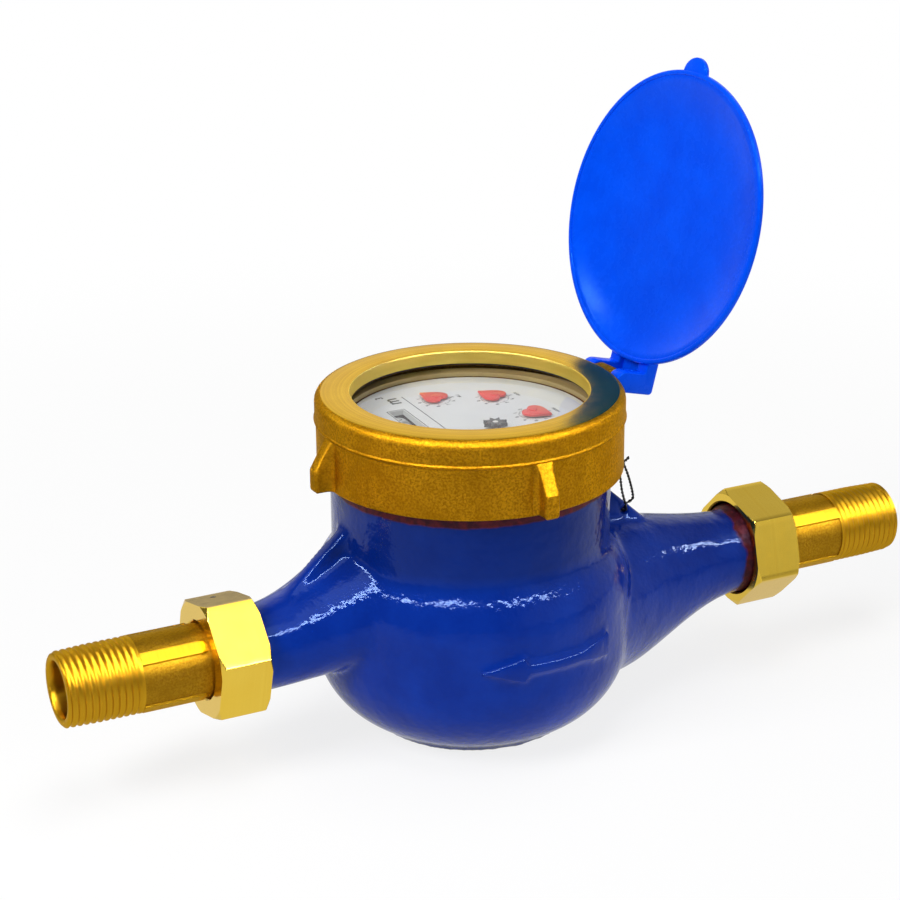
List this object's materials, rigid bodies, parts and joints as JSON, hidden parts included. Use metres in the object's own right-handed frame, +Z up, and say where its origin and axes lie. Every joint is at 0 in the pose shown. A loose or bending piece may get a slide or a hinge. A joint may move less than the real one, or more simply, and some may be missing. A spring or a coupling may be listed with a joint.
{
  "type": "water meter",
  "caption": "Cast multi-jet water meter with a bowl-shaped casing, brass cover ring, open hinged lid over a pointer and drum dial, and union tails with tapered pipe threads.",
  "frame": {"origin": "middle of the flat foot, on the upright axis of the bowl and neck", "axes": "+Z up the neck, +X along the pipe towards the inlet end, +Y away from the viewed side"},
  "size_m": [0.2598, 0.0948, 0.177],
  "materials": {
    "blue_enamel": "glossy enamel over red primer on a cast skin",
    "cast_brass": "cast sides, turned top",
    "brass": "machined",
    "blue_plastic": "gloss",
    "clear_glass": "polished",
    "tan_rubber": "matte",
    "black_rubber": "matte",
    "black_plastic": "matte",
    "wire": "dark twisted wire",
    "steel": "ground",
    "red_plastic": "gloss",
    "blue_vane": "moulded",
    "white_plastic": "printed",
    "pale_plastic": "moulded"
  },
  "bodies": {
    "casing": {"body": "blue_enamel", "cover_ring": "cast_brass", "hinge_pin": "brass", "cover_glass": "clear_glass", "glass_seal": "tan_rubber", "slip_ring": "black_plastic", "inlet_nut": "brass", "outlet_nut": "brass", "inlet_tailpiece": "brass", "outlet_tailpiece": "brass", "inlet_gasket": "black_rubber", "outlet_gasket": "black_rubber", "seal_wire": "wire", "strainer": "pale_plastic", "measuring_chamber": "pale_plastic", "pivot_pin": "steel", "gear_box": "pale_plastic", "shaft_bush": "brass", "lower_plate": "pale_plastic", "upper_plate": "pale_plastic", "plate_spacers": "brass", "dial_spacers": "brass", "dial_plate": "white_plastic", "counter_frame": "pale_plastic", "drum_shaft": "steel", "carry_shaft": "steel"},
    "lid": {"lid": "blue_plastic"},
    "impeller": {"impeller": "blue_vane"},
    "star": {"star_arbor": "pale_plastic", "star_wheel": "black_plastic"},
    "feed": {"feed_arbor": "pale_plastic"},
    "arbor_a": {"arbor_a": "pale_plastic", "pointer_a": "red_plastic"},
    "arbor_b": {"arbor_b": "pale_plastic", "pointer_b": "red_plastic"},
    "arbor_c": {"arbor_c": "pale_plastic", "pointer_c": "red_plastic"},
    "arbor_d": {"arbor_d": "pale_plastic", "pointer_d": "red_plastic"},
    "transfer_a": {"transfer_a": "pale_plastic"},
    "transfer_b": {"transfer_b": "pale_plastic"},
    "transfer_c": {"transfer_c": "pale_plastic"},
    "drum_1": {"drum_1": "white_plastic"},
    "drum_2": {"drum_2": "white_plastic"},
    "drum_3": {"drum_3": "white_plastic"},
    "drum_4": {"drum_4": "white_plastic"},
    "drum_5": {"drum_5": "white_plastic"},
    "carry_1": {"carry_1": "pale_plastic"},
    "carry_2": {"carry_2": "pale_plastic"},
    "carry_3": {"carry_3": "pale_plastic"},
    "carry_4": {"carry_4": "pale_plastic"}
  },
  "joints": [
    {"name": "lid_hinge", "type": "hinge", "parent": "casing", "child": "lid", "pos_m": [0.04576, 0.00465, 0.0906], "axis": [-0.1011, 0.9949, 0], "range_deg": [-105.4, 0]},
    {"name": "impeller_spin", "type": "hinge", "parent": "casing", "child": "impeller", "pos_m": [0, 0, 0.032], "axis": [0, 0, 1], "continuous": true},
    {"name": "star_spin", "type": "hinge", "parent": "casing", "child": "star", "pos_m": [0.00356, -0.00799, 0.0678], "axis": [0, 0, 1], "continuous": true},
    {"name": "feed_spin", "type": "hinge", "parent": "casing", "child": "feed", "pos_m": [-0.00386, -0.0147, 0.0678], "axis": [0, 0, 1], "continuous": true},
    {"name": "arbor_a_spin", "type": "hinge", "parent": "casing", "child": "arbor_a", "pos_m": [0.00599, -0.01644, 0.0678], "axis": [0, 0, 1], "continuous": true},
    {"name": "transfer_a_spin", "type": "hinge", "parent": "casing", "child": "transfer_a", "pos_m": [0.01553, -0.01443, 0.0678], "axis": [0, 0, 1], "continuous": true},
    {"name": "arbor_b_spin", "type": "hinge", "parent": "casing", "child": "arbor_b", "pos_m": [0.0169, -0.00453, 0.0678], "axis": [0, 0, 1], "continuous": true},
    {"name": "transfer_b_spin", "type": "hinge", "parent": "casing", "child": "transfer_b", "pos_m": [0.02073, 0.00444, 0.0678], "axis": [0, 0, 1], "continuous": true},
    {"name": "arbor_c_spin", "type": "hinge", "parent": "casing", "child": "arbor_c", "pos_m": [0.01341, 0.01125, 0.0678], "axis": [0, 0, 1], "continuous": true},
    {"name": "transfer_c_spin", "type": "hinge", "parent": "casing", "child": "transfer_c", "pos_m": [0.00825, 0.01953, 0.0678], "axis": [0, 0, 1], "continuous": true},
    {"name": "arbor_d_spin", "type": "hinge", "parent": "casing", "child": "arbor_d", "pos_m": [-0.00153, 0.01743, 0.0678], "axis": [0, 0, 1], "continuous": true},
    {"name": "drum_1_spin", "type": "hinge", "parent": "casing", "child": "drum_1", "pos_m": [-0.015, 0, 0.0767], "axis": [0, 1, 0], "continuous": true},
    {"name": "drum_2_spin", "type": "hinge", "parent": "casing", "child": "drum_2", "pos_m": [-0.015, 0, 0.0767], "axis": [0, 1, 0], "continuous": true},
    {"name": "drum_3_spin", "type": "hinge", "parent": "casing", "child": "drum_3", "pos_m": [-0.015, 0, 0.0767], "axis": [0, 1, 0], "continuous": true},
    {"name": "drum_4_spin", "type": "hinge", "parent": "casing", "child": "drum_4", "pos_m": [-0.015, 0, 0.0767], "axis": [0, 1, 0], "continuous": true},
    {"name": "drum_5_spin", "type": "hinge", "parent": "casing", "child": "drum_5", "pos_m": [-0.015, 0, 0.0767], "axis": [0, 1, 0], "continuous": true},
    {"name": "carry_1_spin", "type": "hinge", "parent": "casing", "child": "carry_1", "pos_m": [-0.02172, 0, 0.0767], "axis": [0, 1, 0], "continuous": true},
    {"name": "carry_2_spin", "type": "hinge", "parent": "casing", "child": "carry_2", "pos_m": [-0.02172, 0, 0.0767], "axis": [0, 1, 0], "continuous": true},
    {"name": "carry_3_spin", "type": "hinge", "parent": "casing", "child": "carry_3", "pos_m": [-0.02172, 0, 0.0767], "axis": [0, 1, 0], "continuous": true},
    {"name": "carry_4_spin", "type": "hinge", "parent": "casing", "child": "carry_4", "pos_m": [-0.02172, 0, 0.0767], "axis": [0, 1, 0], "continuous": true}
  ],
  "couplings": [
    {"joint": "star_spin", "follows": "impeller_spin", "ratio": -0.4},
    {"joint": "feed_spin", "follows": "impeller_spin", "ratio": 0.1},
    {"joint": "arbor_a_spin", "follows": "impeller_spin", "ratio": -0.033333},
    {"joint": "transfer_a_spin", "follows": "impeller_spin", "ratio": 0.01},
    {"joint": "arbor_b_spin", "follows": "impeller_spin", "ratio": -0.0033333},
    {"joint": "transfer_b_spin", "follows": "impeller_spin", "ratio": 0.001},
    {"joint": "arbor_c_spin", "follows": "impeller_spin", "ratio": -0.00033333},
    {"joint": "transfer_c_spin", "follows": "impeller_spin", "ratio": 0.0001},
    {"joint": "arbor_d_spin", "follows": "impeller_spin", "ratio": -0.000033333},
    {"joint": "drum_1_spin", "follows": "impeller_spin", "ratio": 0.0000033333},
    {"joint": "drum_2_spin", "follows": "impeller_spin", "ratio": 0.00000033333},
    {"joint": "drum_3_spin", "follows": "impeller_spin", "ratio": 0.000000033333},
    {"joint": "drum_4_spin", "follows": "impeller_spin", "ratio": 0.0000000033333},
    {"joint": "drum_5_spin", "follows": "impeller_spin", "ratio": 0.00000000033333},
    {"joint": "carry_1_spin", "follows": "impeller_spin", "ratio": -0.00000083333},
    {"joint": "carry_2_spin", "follows": "impeller_spin", "ratio": -0.000000083333},
    {"joint": "carry_3_spin", "follows": "impeller_spin", "ratio": -0.0000000083333},
    {"joint": "carry_4_spin", "follows": "impeller_spin", "ratio": -0.00000000083333}
  ]
}
